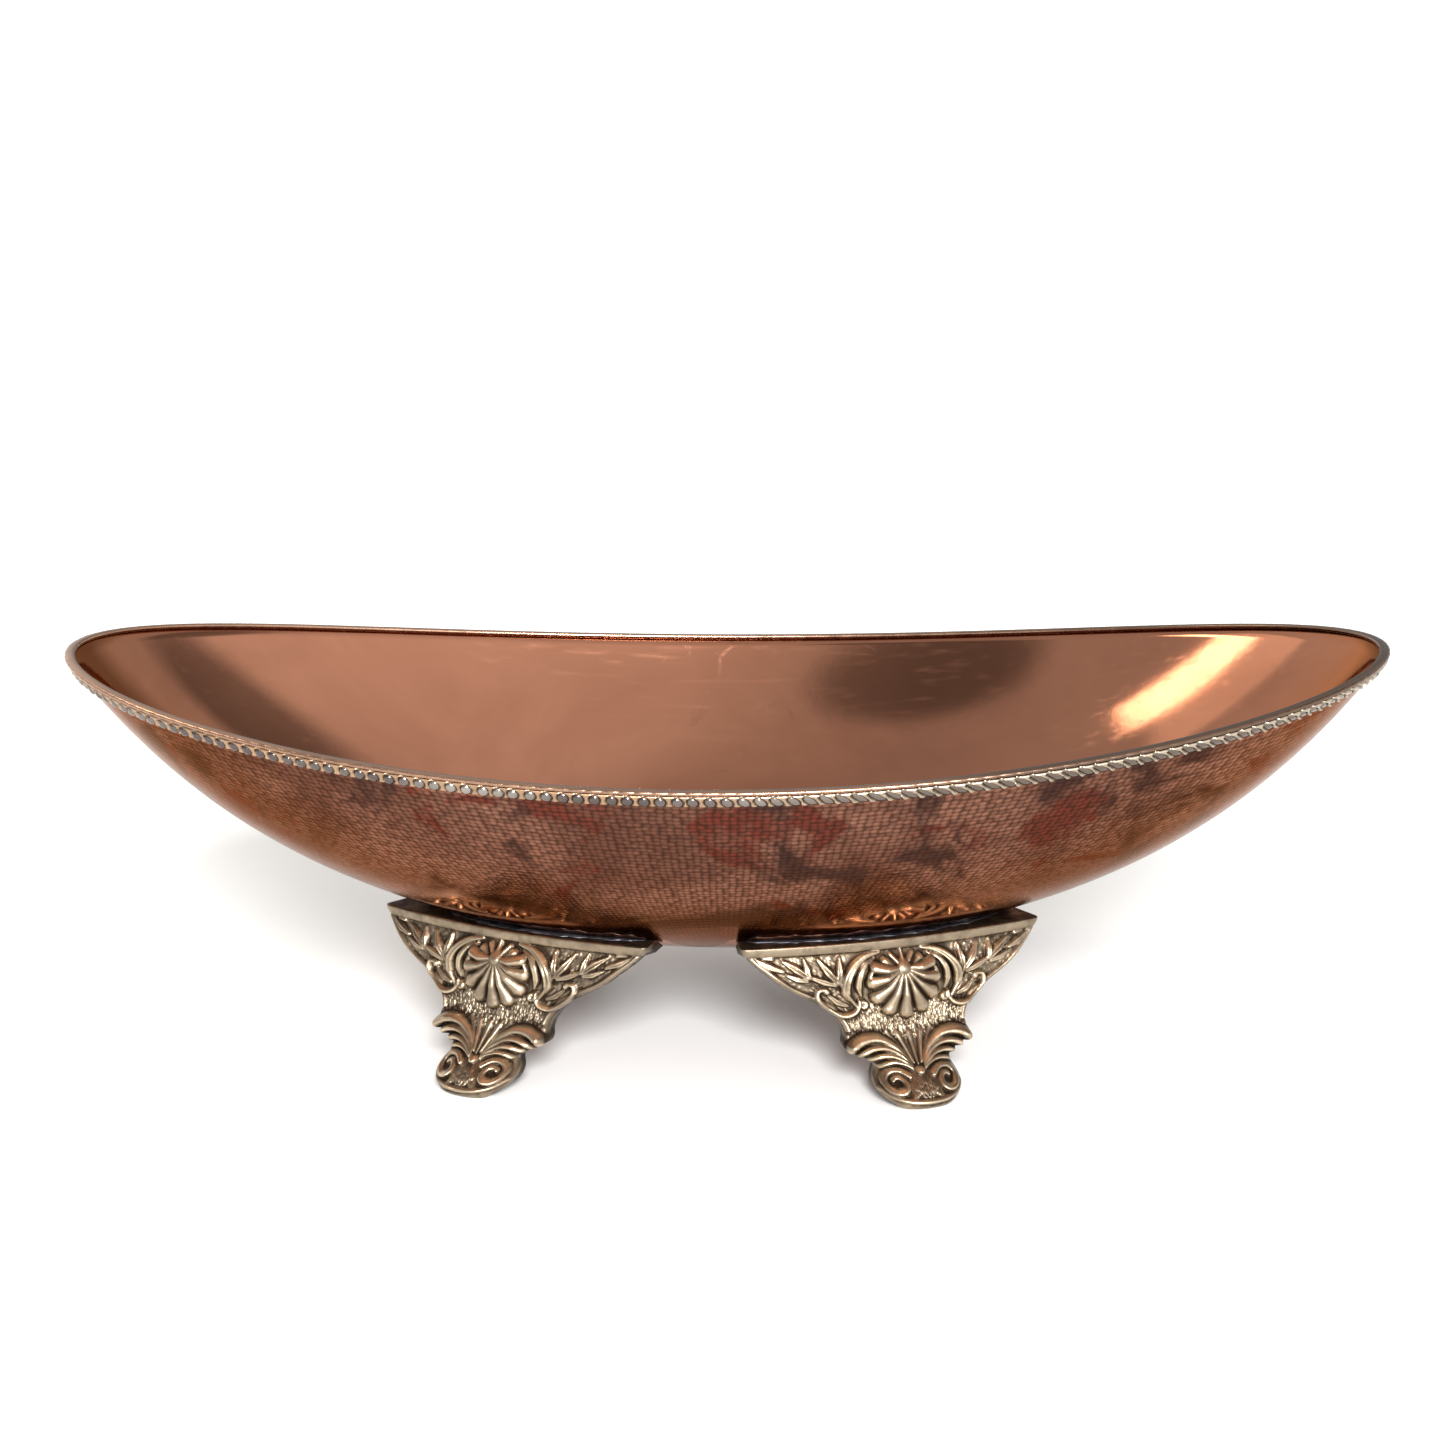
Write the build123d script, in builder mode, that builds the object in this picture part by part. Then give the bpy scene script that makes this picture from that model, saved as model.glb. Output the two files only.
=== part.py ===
from build123d import *
import math
import os

# An oval, boat-shaped copper bowl with a soldered brass border round its edge,
# standing on four cast brass feet.  Millimetres.  X runs along the bowl, Y across
# it and Z up.  The origin is the middle of the bowl, at the height of the feet's soles.

# ---- bowl ----
half_length = 170.0          # sheet edge at the two raised ends
half_width = 98.0            # width that the sides would have at the height of the ends
bottom_height = 27.2         # underside of the bowl, at its lowest point
end_height = 104.6           # sheet edge at the ends
side_height = 88.2           # sheet edge at the middle of each long side
sheet = 1.0                  # copper sheet
over_run = 1.03              # how far the raised form runs on before it is trimmed
flat_bottom = 0.04           # the bottom is flat out to this fraction of the half length
clearance = 15.0             # how far the blocks that trim the form reach past it

# ---- border strip ----
lip_thickness = 1.2          # flat lip that covers the sheet's edge
lip_inward = 1.4             # lip's inner edge, in from the outer face of the sheet
border_outward = 1.7         # how far the moulded border stands out from the sheet
border_drop = 3.3            # how far the border reaches down the outside
joint_length = 3.5           # soldered joint where the strip's two ends meet
joint_turn = math.radians(-12)    # where it lies on the oval, from the +X end
joint_lean = -20.0           # turn of the strip's face there, in degrees about Z
joint_cut = 16.0             # length of the block that cuts across the strip
joint_setback = 0.3          # the solder's face lies this much inside the strip's
lip_setback = 0.2            # the lip's outer edge, in from the border's face

# ---- feet ----
foot_height = 38.2
foot_half_width = 41.0       # half the width across the upper corners
foot_bow = 5.0               # how far the shield's middle bows out from its corners
plate = 3.0                  # thickness of the cast shield
toe_reach = 22.5             # how far the toe stands out beyond the upper edge
toe_round = 7.5              # the toe's front is rounded in plan over this depth
toe_half_width = 11.0        # half the width of the oval that rounds it
ledge_depth = 12.0           # the top flange, before it is cut to fit the bowl
foot_block = 25.0            # half the depth of the blocks that trim a foot
foot_places = {              # middle of the upper edge, and the bearing of its outward face
    "front_left_foot": (-54.8, -34.4, -118.0),
    "front_right_foot": (46.0, -39.5, -68.0),
    "rear_right_foot": (46.0, 39.5, 68.0),
    "rear_left_foot": (-54.8, 34.4, 118.0),
}

# ---- solder seam on each foot's ledge ----
seam_height = 1.5            # highest part of the seam, above the ledge
seam_setback = 1.2           # its front face, in from the shield's upper edge
seam_stop = 3.0              # how far it stops short of each upper corner

foot_plan_radius = (foot_half_width**2 + foot_bow**2) / (2 * foot_bow)
sheer_rise = end_height - side_height
sheer_radius = (half_length**2 + sheer_rise**2) / (2 * sheer_rise)


def form_height(r):
    """Height of the bowl's outer surface at the fraction r of its half length."""
    return bottom_height + (end_height - bottom_height) * (0.642 * r**1.893 + 0.358 * r**5.12)


def oval_form(outset, lift=0.0):
    """The raised form filled solid, through level ovals from the bottom to the edge."""
    with BuildPart() as form:
        for r in (flat_bottom, 0.2, 0.4, 0.6, 0.8, 0.9, 1.0, over_run):
            with BuildSketch(Plane.XY.offset(form_height(r) + lift)):
                Ellipse((half_length + outset) * r, (half_width + outset) * r)
        loft()
    return form.part


def under_sheer(offset):
    """Everything below the sheer, the curve on which the sheet's edge lies."""
    reach = half_length + clearance
    rise = sheer_radius - math.sqrt(sheer_radius**2 - reach**2)
    with BuildPart() as block:
        with BuildSketch(Plane.XZ):
            with BuildLine():
                edge = ThreePointArc(
                    (-reach, side_height + rise + offset),
                    (0, side_height + offset),
                    (reach, side_height + rise + offset),
                )
                Polyline(edge @ 1, (reach, 0), (-reach, 0), edge @ 0)
            make_face()
        extrude(amount=half_width + clearance, both=True)
    return block.part


def foot_base(bearing, x, y):
    """Ground plane of one foot: local +X outwards, from under its upper edge's middle."""
    turn = math.radians(bearing)
    return Plane(origin=(x, y, 0), x_dir=(math.cos(turn), math.sin(turn), 0), z_dir=(0, 0, 1))


def foot_section(base):
    """Upright plane through the foot's middle: sketch X outwards, sketch Y up."""
    return Plane(origin=base.origin, x_dir=base.x_dir, z_dir=base.x_dir.cross(base.z_dir))


def foot_front(base):
    """Upright plane facing the foot: sketch X to the right, sketch Y up."""
    return Plane(origin=base.origin, x_dir=base.z_dir.cross(base.x_dir), z_dir=base.x_dir)


def foot_axis(base):
    """Upright axis about which the shield is bowed."""
    return Axis(base.origin - base.x_dir * foot_plan_radius, base.z_dir)


outer_form = oval_form(0)
inner_form = oval_form(-0.5, lift=sheet)

with BuildPart() as bowl_shell:
    add(outer_form)
    add(inner_form, mode=Mode.SUBTRACT)
    add(under_sheer(0), mode=Mode.INTERSECT)

with BuildPart() as rim_lip:
    # a flat strip that covers the sheet's edge and reaches out over the border
    add(oval_form(border_outward - lip_setback))
    add(oval_form(-lip_inward), mode=Mode.SUBTRACT)
    add(under_sheer(lip_thickness), mode=Mode.INTERSECT)
    add(under_sheer(0), mode=Mode.SUBTRACT)


def border(outward, drop):
    """The strip that runs round the outside of the bowl, under the lip."""
    with BuildPart() as strip:
        add(oval_form(outward))
        add(outer_form, mode=Mode.SUBTRACT)
        add(under_sheer(0), mode=Mode.INTERSECT)
        add(under_sheer(-drop), mode=Mode.SUBTRACT)
    return strip.part


with BuildPart() as joint_span:
    # a block across the strip, as long as the joint
    with BuildSketch(Plane.XY.offset(side_height)):
        with Locations((half_length * math.cos(joint_turn), half_width * math.sin(joint_turn))):
            Rectangle(joint_cut, joint_length, rotation=joint_lean)
    extrude(amount=sheer_rise)

with BuildPart() as rim_border:
    add(border(border_outward, border_drop))
    add(joint_span.part, mode=Mode.SUBTRACT)

with BuildPart() as rim_joint_solder:
    add(border(border_outward - joint_setback, border_drop - joint_setback))
    add(joint_span.part, mode=Mode.INTERSECT)


def cast_foot(base):
    """A bowed shield with a flange under the bowl and a toe that turns outwards."""
    with BuildPart() as foot:
        with BuildSketch(foot_section(base)):
            with BuildLine():
                front = Spline(
                    (0, foot_height - plate),
                    (2.0, 31),
                    (2.4, 26.5),
                    (3.5, 22),
                    (5.4, 17.5),
                    (8.2, 13.5),
                    (11.8, 10.2),
                    (15.4, 7.4),
                    (toe_reach - 1, 3.6),
                )
                tip = ThreePointArc(front @ 1, (toe_reach, 1.8), (toe_reach - 1.2, 0))
                back = Spline((13.5, 0), (11.8, 4), (7.6, 9), (2.8, 14.5), (-0.8, 20.5), (-plate, 28))
                Line(tip @ 1, back @ 0)
                Polyline(
                    back @ 1,
                    (-plate, foot_height - plate),
                    (-ledge_depth, foot_height - plate),
                    (-ledge_depth, foot_height),
                    (0, foot_height),
                    front @ 0,
                )
            make_face()
        revolve(axis=foot_axis(base))
        with BuildSketch(foot_front(base)):
            with BuildLine():
                corner = Line((0, foot_height), (foot_half_width, foot_height))
                arm = Spline(
                    corner @ 1,
                    (38.5, 34.4),
                    (30.4, 27.8),
                    (20.3, 22.5),
                    (16.2, 17.3),
                    (16.4, 14),
                )
                scroll = ThreePointArc(arm @ 1, (15.4, 11.9), (9.2, 8.9))
                toe = Spline(scroll @ 1, (9.8, 5.7), (8.6, 2.2), (5.6, 0))
                Line(toe @ 1, (0, 0))
                mirror(about=Plane.YZ)
            make_face()
        extrude(amount=foot_block, both=True, mode=Mode.INTERSECT)
        with BuildSketch(base):
            with Locations((toe_reach - toe_round - foot_block / 2, 0)):
                Rectangle(foot_block, 3 * foot_half_width)
            with Locations((toe_reach - toe_round, 0)):
                Ellipse(toe_round, toe_half_width)
        extrude(amount=foot_height, mode=Mode.INTERSECT)
        add(outer_form, mode=Mode.SUBTRACT)
    return foot.part


def foot_seam(base):
    """The wedge of solder between a foot's ledge and the bowl above it."""
    front = -seam_setback
    with BuildPart() as seam:
        with BuildSketch(foot_section(base)):
            with Locations(((front - ledge_depth) / 2, foot_height + seam_height / 2)):
                Rectangle(ledge_depth + front, seam_height)
        revolve(axis=foot_axis(base))
        with BuildSketch(foot_front(base)):
            with Locations((0, foot_height)):
                Rectangle(2 * (foot_half_width - seam_stop), 4 * seam_height)
        extrude(amount=foot_block, both=True, mode=Mode.INTERSECT)
        add(outer_form, mode=Mode.SUBTRACT)
    return seam.part


os.makedirs("parts", exist_ok=True)

for name, (x, y, bearing) in foot_places.items():
    base = foot_base(bearing, x, y)
    foot = cast_foot(base)
    foot.label = name
    export_step(foot, f"parts/{name}.step")
    seam = foot_seam(base)
    seam.label = name + "_solder"
    export_step(seam, f"parts/{name}_solder.step")

bowl_shell.part.label = "bowl_shell"
export_step(bowl_shell.part, "parts/bowl_shell.step")

rim_lip.part.label = "rim_lip"
export_step(rim_lip.part, "parts/rim_lip.step")

rim_border.part.label = "rim_border"
export_step(rim_border.part, "parts/rim_border.step")

rim_joint_solder.part.label = "rim_joint_solder"
export_step(rim_joint_solder.part, "parts/rim_joint_solder.step")
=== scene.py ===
import math

import bpy
import numpy as np
from mathutils import Matrix, Vector


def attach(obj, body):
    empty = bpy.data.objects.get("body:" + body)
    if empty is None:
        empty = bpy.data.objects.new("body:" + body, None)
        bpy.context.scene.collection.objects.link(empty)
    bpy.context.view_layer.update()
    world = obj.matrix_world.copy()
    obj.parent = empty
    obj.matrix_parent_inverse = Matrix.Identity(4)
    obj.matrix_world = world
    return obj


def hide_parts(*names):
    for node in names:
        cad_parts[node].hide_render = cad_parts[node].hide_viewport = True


# An oval copper bowl with a beaded brass border, on four cast brass feet.
# Everything is in metres in the part's own frame: X along the bowl, Z up, soles at Z = 0.

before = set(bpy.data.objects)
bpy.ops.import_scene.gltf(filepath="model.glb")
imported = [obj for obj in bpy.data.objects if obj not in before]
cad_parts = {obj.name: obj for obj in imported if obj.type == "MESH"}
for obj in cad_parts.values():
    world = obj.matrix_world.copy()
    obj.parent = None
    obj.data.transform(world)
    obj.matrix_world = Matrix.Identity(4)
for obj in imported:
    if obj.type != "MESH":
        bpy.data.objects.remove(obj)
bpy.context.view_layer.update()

MM = 0.001

# ---- driving dimensions; the sheet and the feet are as large as the solids ----
HALF_LENGTH = 170.0 * MM      # sheet edge at the raised ends
HALF_WIDTH = 98.0 * MM        # the sides' half width at the height of the ends
BOTTOM = 27.2 * MM            # underside of the bowl
END_HEIGHT = 104.6 * MM       # sheet edge at the ends
SIDE_HEIGHT = 88.2 * MM       # sheet edge at the middle of each side
SHEET = 1.0 * MM
WAVE_COUNT = 26               # faint waves left in the sheet by raising it by hand
WAVE_HEIGHT = 0.32            # scale of their height (mm)

LIP_THICKNESS = 1.2 * MM
LIP_INWARD = 1.4 * MM         # the lip's inner edge, in from the sheet's outer face
LIP_OUTWARD = 1.35 * MM       # its outer edge, out from the sheet's outer face
BORDER_DROP = 3.4 * MM        # length of the beaded strip, down the wall
BEAD_PITCH = 3.9 * MM
BEAD_HEIGHT = 1.15 * MM
BAR_HEIGHT = 0.75 * MM        # the bars between the beads
BEAD_LEAN = 1.5 * MM          # how far the beads lean over on the right-hand half
JOINT_BEARING = math.radians(-12)     # where the border's two ends meet

FOOT_HEIGHT = 38.2            # feet are worked out in millimetres, then scaled
DRAWN_HEIGHT = 41.0           # height at which the ornament is drawn, before the toe is pressed lower
FOOT_HALF_WIDTH = 41.0
FOOT_BOW = 5.0
FLANGE = 3.0                  # thickness of the foot's top flange
FLANGE_DEPTH = 12.0
TOE_ROUNDING = 0.045          # fall of the toe's front to each side, per mm across
BACK_ROUNDING = 0.020         # the same for its back
KNEE_SWELL = 1.3              # how far the shield swells under the shell
FOOT_REFLECTION_RISE = 16.0             # height of the painted reflection of the foot on the wall over the foot's middle
FOOT_REFLECTION_DEPTH = 26.0            # how far in from the foot's upper edge it reaches
SEAM_STOP = 2.5               # how far a solder seam stops short of each upper corner
FOOT_PLACES = {               # middle of the upper edge (mm) and bearing of the outward face
    "front_left": (-54.8, -34.4, -118.0),
    "front_right": (46.0, -39.5, -68.0),
    "rear_right": (46.0, 39.5, 68.0),
    "rear_left": (-54.8, 34.4, 118.0),
}

# ---- resolution ----
BOWL_AROUND = 480
BOWL_OUT = 80                 # rings on each face of the sheet
BEAD_STEPS = 18               # stations along each bead
BORDER_ROWS = 18              # stations down the strip
FOOT_COLUMNS = 300
FOOT_ROWS = 150
SEAM_COLUMNS = 160

# ---- studio ----
LAMP_DISTANCE = 1.5
LAMP_AIM = (0, 0, 0.05)
STUDIO_PATCHES = [            # bearing, elevation (degrees), cosines where it fades, brightness
    (-35, 42, 0.55, 0.97, 2.0),       # pale wall in front, to the right
    (130, 22, 0.80, 0.97, 1.35),      # pale wall behind, to the left
    (82, 10, 0.86, 0.975, 0.42),      # dim corner behind
    (27, 47, 0.957, 0.985, 0.35),     # narrow dark gap behind, to the right
    (-122, 50, 0.975, 0.988, 0.35),   # dark gap in front, to the left
]


# ------------------------------------------------------------------ meshes

def make_piece(name, vertices, faces, material, smooth=True):
    """A mesh object from vertex positions and faces, which keep the winding they are given."""
    mesh = bpy.data.meshes.new(name)
    mesh.from_pydata([tuple(v) for v in vertices], [], [tuple(f) for f in faces])
    mesh.update()
    mesh.polygons.foreach_set("use_smooth", [smooth] * len(mesh.polygons))
    mesh.materials.append(material)
    piece = bpy.data.objects.new(name, mesh)
    bpy.context.scene.collection.objects.link(piece)
    return piece


def grid_faces(rows, columns, wrap_rows=False, wrap_columns=False, first=0):
    """Quads between neighbouring points of a grid stored row by row."""
    r = np.arange(rows if wrap_rows else rows - 1)
    c = np.arange(columns if wrap_columns else columns - 1)
    r, c = np.meshgrid(r, c, indexing="ij")
    r1 = (r + 1) % rows
    c1 = (c + 1) % columns
    quads = np.stack([r * columns + c, r * columns + c1, r1 * columns + c1, r1 * columns + c], -1)
    return (quads.reshape(-1, 4) + first).tolist()


def add_attribute(piece, name, values):
    """A number at each vertex, which the materials read."""
    layer = piece.data.attributes.new(name, "FLOAT", "POINT")
    layer.data.foreach_set("value", np.asarray(values, np.float32))


def smoothstep(low, high, x):
    """0 below one value, 1 above another, and a smooth rise between them."""
    t = np.clip((x - low) / (high - low), 0.0, 1.0)
    return t * t * (3.0 - 2.0 * t)


def curve_through(points, count):
    """Points on a smooth Catmull-Rom curve through a few given points."""
    p = np.asarray(points, float)
    p = np.vstack([2 * p[0] - p[1], p, 2 * p[-1] - p[-2]])
    spans = len(p) - 3
    t = np.linspace(0, spans, count)
    k = np.minimum(t.astype(int), spans - 1)
    t = (t - k)[:, None]
    a, b, c, d = p[k], p[k + 1], p[k + 2], p[k + 3]
    return 0.5 * (2 * b + (c - a) * t + (2 * a - 5 * b + 4 * c - d) * t**2 + (3 * b - a - 3 * c + d) * t**3)


# ------------------------------------------------------------------ the bowl's form

def form_height(r):
    """Height of the outer face at the fraction r of the oval."""
    return BOTTOM + (END_HEIGHT - BOTTOM) * (0.642 * r**1.893 + 0.358 * r**5.12)


SHEER_RISE = END_HEIGHT - SIDE_HEIGHT
SHEER_RADIUS = (HALF_LENGTH**2 + SHEER_RISE**2) / (2 * SHEER_RISE)


def sheer_height(x):
    """Height of the curve on which the sheet's edge lies."""
    return SIDE_HEIGHT + SHEER_RADIUS - np.sqrt(SHEER_RADIUS**2 - x**2)


def edge_fraction(angle, inset=0.0, lift=0.0):
    """The fraction r at which a face of the sheet reaches the sheer, at an angle round the oval."""
    low = np.full_like(angle, 0.8)
    high = np.full_like(angle, 1.05)
    for _ in range(40):
        middle = (low + high) / 2
        x = (HALF_LENGTH - inset) * middle * np.cos(angle)
        above = form_height(middle) + lift > sheer_height(x)
        high = np.where(above, middle, high)
        low = np.where(above, low, middle)
    return (low + high) / 2


def wall_point(angle, r, inset=0.0, lift=0.0):
    """A point on a face of the sheet."""
    return np.stack([
        (HALF_LENGTH - inset) * r * np.cos(angle),
        (HALF_WIDTH - inset) * r * np.sin(angle),
        form_height(r) + lift,
    ], -1)


def outer_height(x, y):
    """Height of the bowl's outer face over a point of the ground, in metres."""
    return form_height(np.sqrt((x / HALF_LENGTH)**2 + (y / HALF_WIDTH)**2))


def lay_rows(bowl, rings):
    """Coordinates in millimetres round the wall and up it, which the hammered rows of the bump and the
    painted weave grid follow.
    """
    edge = rings[BOWL_OUT - 1]
    steps = np.linalg.norm(np.roll(edge, -1, 0) - edge, axis=1)
    around = np.concatenate([[0], np.cumsum(steps)]) / MM
    rise = np.linalg.norm(np.diff(rings, axis=0), axis=-1).mean(1)
    up = np.concatenate([[0], np.cumsum(rise)]) / MM
    corners = np.empty(len(bowl.data.loops), np.int32)
    bowl.data.loops.foreach_get("vertex_index", corners)
    inner = np.clip(corners - 1, 0, len(rings) * BOWL_AROUND - 1)
    ring, column = np.divmod(inner, BOWL_AROUND)
    faces = len(bowl.data.polygons)
    starts = np.empty(faces, np.int32)
    totals = np.empty(faces, np.int32)
    bowl.data.polygons.foreach_get("loop_start", starts)
    bowl.data.polygons.foreach_get("loop_total", totals)
    owner = np.repeat(np.arange(faces), totals)
    last = np.maximum.reduceat(column, starts)[owner] == BOWL_AROUND - 1
    column = np.where(last & (column == 0), BOWL_AROUND, column)
    layer = bowl.data.uv_layers.new(name="wall")
    layer.data.foreach_set("uv", np.stack([around[column], up[ring]], -1).astype(np.float32).ravel())


def foot_reflection_mask(points):
    """1 where each foot's reflection is painted on the wall just above it, and 0 elsewhere."""
    bright = np.zeros(len(points))
    for x, y, bearing in FOOT_PLACES.values():
        turn = math.radians(bearing)
        ground = points[:, :2] / MM - (x, y)
        across = np.abs(ground[:, 1] * math.cos(turn) - ground[:, 0] * math.sin(turn))
        outward = ground[:, 0] * math.cos(turn) + ground[:, 1] * math.sin(turn)
        above = points[:, 2] / MM - FOOT_HEIGHT
        crest = FOOT_REFLECTION_RISE * np.clip(1 - across / FOOT_HALF_WIDTH, 0, 1) ** 0.9 + 0.4
        share = 1 - smoothstep(0.75, 1.1, above / crest)
        over_foot = (outward > -FOOT_REFLECTION_DEPTH) & (across < FOOT_HALF_WIDTH)
        bright = np.maximum(bright, share * over_foot)
    return bright


def make_bowl(material_out, material_in):
    """The copper sheet: an outer face, a rounded edge and an inner face, closed."""
    angle = np.linspace(0, 2 * math.pi, BOWL_AROUND, endpoint=False)
    inset = SHEET / 2
    out_edge = edge_fraction(angle)
    in_edge = edge_fraction(angle, inset, SHEET)
    steps = np.linspace(0, 1, BOWL_OUT + 1)[1:] ** 0.85
    rng = np.random.default_rng(7)
    waves = [
        (rng.uniform(18, 60), rng.uniform(0, 2 * math.pi), rng.uniform(0, 2 * math.pi))
        for _ in range(WAVE_COUNT)
    ]

    def unevenness(points):
        """Height of the waves over points of the sheet, well under a tenth of a millimetre."""
        total = np.zeros(len(points))
        for size, turn, phase in waves:    # length (mm), bearing and shift of each wave
            across = points[:, 0] * math.cos(turn) + points[:, 1] * math.sin(turn)
            total += np.sin(across / (size * MM) * 2 * math.pi + phase) * size / 60
        return total / len(waves) * WAVE_HEIGHT * MM

    rings = []
    for q in steps:
        rings.append(wall_point(angle, out_edge * q))
    for q in steps[::-1]:
        rings.append(wall_point(angle, in_edge * q, inset, SHEET))
    rings = np.array(rings)
    flat = rings.reshape(-1, 3)
    fade = 1 - smoothstep(0.93, 1.0, np.concatenate([steps, steps[::-1]]))
    wave = unevenness(flat).reshape(len(rings), -1)
    rings[:, :, 2] += wave * fade[:, None]
    centre = np.array([(0, 0, BOTTOM), (0, 0, BOTTOM + SHEET)])
    centre[:, 2] += unevenness(centre)
    vertices = [centre[0]] + list(rings.reshape(-1, 3)) + [centre[1]]
    last = len(vertices) - 1
    faces = grid_faces(len(rings), BOWL_AROUND, wrap_columns=True, first=1)
    faces = [f[::-1] for f in faces]
    outer_count = (BOWL_OUT - 1) * BOWL_AROUND
    quad_count = len(faces)
    tail = last - BOWL_AROUND
    for i in range(BOWL_AROUND):
        j = (i + 1) % BOWL_AROUND
        faces.append((0, 1 + j, 1 + i))
        faces.append((last, tail + i, tail + j))
    bowl = make_piece("copper_bowl", vertices, faces, material_out)
    bowl.data.materials.append(material_in)
    # slot 1, the inner copper: the edge and inner face, and every second triangle at the bottom
    slots = np.zeros(len(faces), np.int32)
    slots[outer_count:quad_count] = 1
    slots[quad_count + 1::2] = 1
    bowl.data.polygons.foreach_set("material_index", slots)
    lay_rows(bowl, rings)
    # where the painted reflection of each foot goes on the outer wall
    add_attribute(bowl, "foot_reflection", foot_reflection_mask(np.array(vertices)))
    return bowl


# ------------------------------------------------------------------ the border

class Edge:
    """The sheet's edge as evenly spaced stations, with directions along, down the wall and out."""

    def __init__(self, stations):
        fine = np.linspace(0, 2 * math.pi, 7200, endpoint=False)
        points = wall_point(fine, edge_fraction(fine))
        gaps = np.linalg.norm(np.roll(points, -1, 0) - points, axis=1)
        travelled = np.concatenate([[0], np.cumsum(gaps)])
        self.length = travelled[-1]
        self.s = np.arange(stations) / stations * self.length
        self.angle = np.interp(self.s, travelled, np.append(fine, 2 * math.pi))
        r = edge_fraction(self.angle)
        self.points = wall_point(self.angle, r)
        step = 1e-3
        ahead = wall_point(self.angle + step, edge_fraction(self.angle + step))
        behind = wall_point(self.angle - step, edge_fraction(self.angle - step))
        self.along = ahead - behind
        self.along /= np.linalg.norm(self.along, axis=1)[:, None]
        slope = self.points - wall_point(self.angle, r - step)
        self.out = np.cross(self.along, slope)
        self.out /= np.linalg.norm(self.out, axis=1)[:, None]
        self.down = np.cross(self.along, self.out)
        self.level_out = np.cross(self.along, (0, 0, 1))
        self.level_out /= np.linalg.norm(self.level_out, axis=1)[:, None]
        self.up = np.cross(self.level_out, self.along)


def bead_phase(edge, count):
    """Where each station lies in its bead, from -0.5 to 0.5, and the bead's number."""
    turn = edge.s / edge.length * count
    number = np.floor(turn).astype(int)
    return turn - number - 0.5, number


def joint_fade(edge):
    """1 along the border, falling to 0 where its ends are soldered together."""
    joint = np.interp(JOINT_BEARING % (2 * math.pi), edge.angle, edge.s)
    away = np.abs(edge.s - joint)
    away = np.minimum(away, edge.length - away)
    return smoothstep(1.5 * MM, 7.0 * MM, away)


def make_border(material):
    """The beaded strip: one closed sweep with a round bead in a pocket at each pitch."""
    count = round(Edge(400).length / BEAD_PITCH)
    edge = Edge(count * BEAD_STEPS)
    phase, number = bead_phase(edge, count)
    rng = np.random.default_rng(3)
    size = rng.normal(1.0, 0.05, count)[number % count]
    drift = rng.normal(0.0, 0.035, count)[number % count]
    fade = joint_fade(edge)
    right = smoothstep(-20 * MM, 60 * MM, edge.points[:, 0])
    lean = BEAD_LEAN * right
    bead_height = BEAD_HEIGHT * (1 - 0.55 * right) * size
    bar_height = BAR_HEIGHT * (1 + 0.35 * right)
    middle = 1.80 * MM
    half = 1.45 * MM
    rings = []
    reliefs = []
    beads = []
    for d in np.linspace(0, BORDER_DROP, BORDER_ROWS):
        shift = phase + drift - lean * (d - middle) / (half * BEAD_PITCH)
        shift = (shift + 0.5) % 1.0 - 0.5
        q = (shift / (0.37 + 0.02 * right)) ** 2 + ((d - middle) / half) ** 2
        bead = np.sqrt(np.clip(1 - q, 0, None)) * (0.25 + 0.75 * fade)
        bar = smoothstep(1.05, 1.55, q) * (1 - smoothstep(BORDER_DROP - 0.7 * MM, BORDER_DROP, d))
        height = 0.22 * MM + np.where(q < 1, bead_height * bead, bar_height * bar)
        rings.append(edge.points + edge.down * d + edge.out * height[:, None])
        reliefs.append(np.where(q < 1, bead, bar))
        beads.append(smoothstep(1.1, 0.95, q))
    for d in (BORDER_DROP, 0.0):
        rings.append(edge.points + edge.down * d - edge.out * 0.2 * MM)
        reliefs.append(phase * 0)
        beads.append(phase * 0)
    rings = np.array(rings)
    faces = grid_faces(len(rings), len(edge.s), wrap_rows=True, wrap_columns=True)
    border = make_piece("beaded_border", rings.reshape(-1, 3), faces, material)
    add_attribute(border, "relief", np.array(reliefs).reshape(-1))
    add_attribute(border, "bead", np.array(beads).reshape(-1))
    return border


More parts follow.
